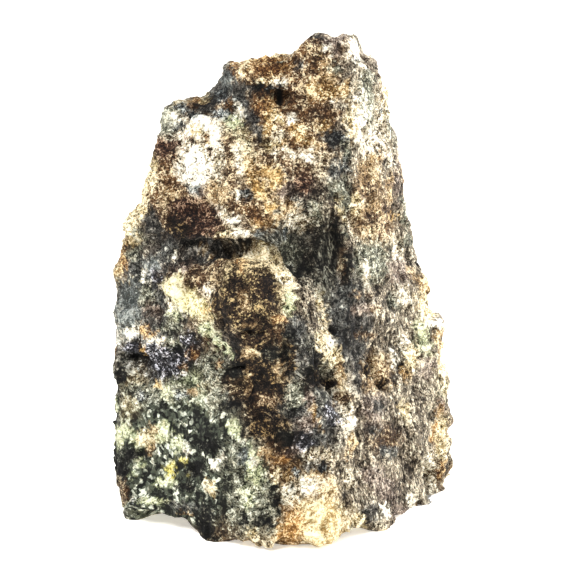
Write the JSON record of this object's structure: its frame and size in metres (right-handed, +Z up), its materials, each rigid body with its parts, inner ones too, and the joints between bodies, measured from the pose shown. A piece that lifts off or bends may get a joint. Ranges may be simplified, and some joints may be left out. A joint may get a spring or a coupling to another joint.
{
  "type": "orbicular diorite specimen",
  "caption": "Broken hand specimen of orbicular diorite that stands upright on the flats of its underside.",
  "frame": {"origin": "on the resting plane, under the middle of the stone's bounding box", "axes": "+Z up, +X to the right and -Y towards the viewer who faces the side with the weathered orbicule"},
  "size_m": [0.0548, 0.047, 0.0756],
  "materials": {
    "diorite": "rough"
  },
  "bodies": {
    "root": {"diorite_stone": "diorite"}
  },
  "joints": []
}
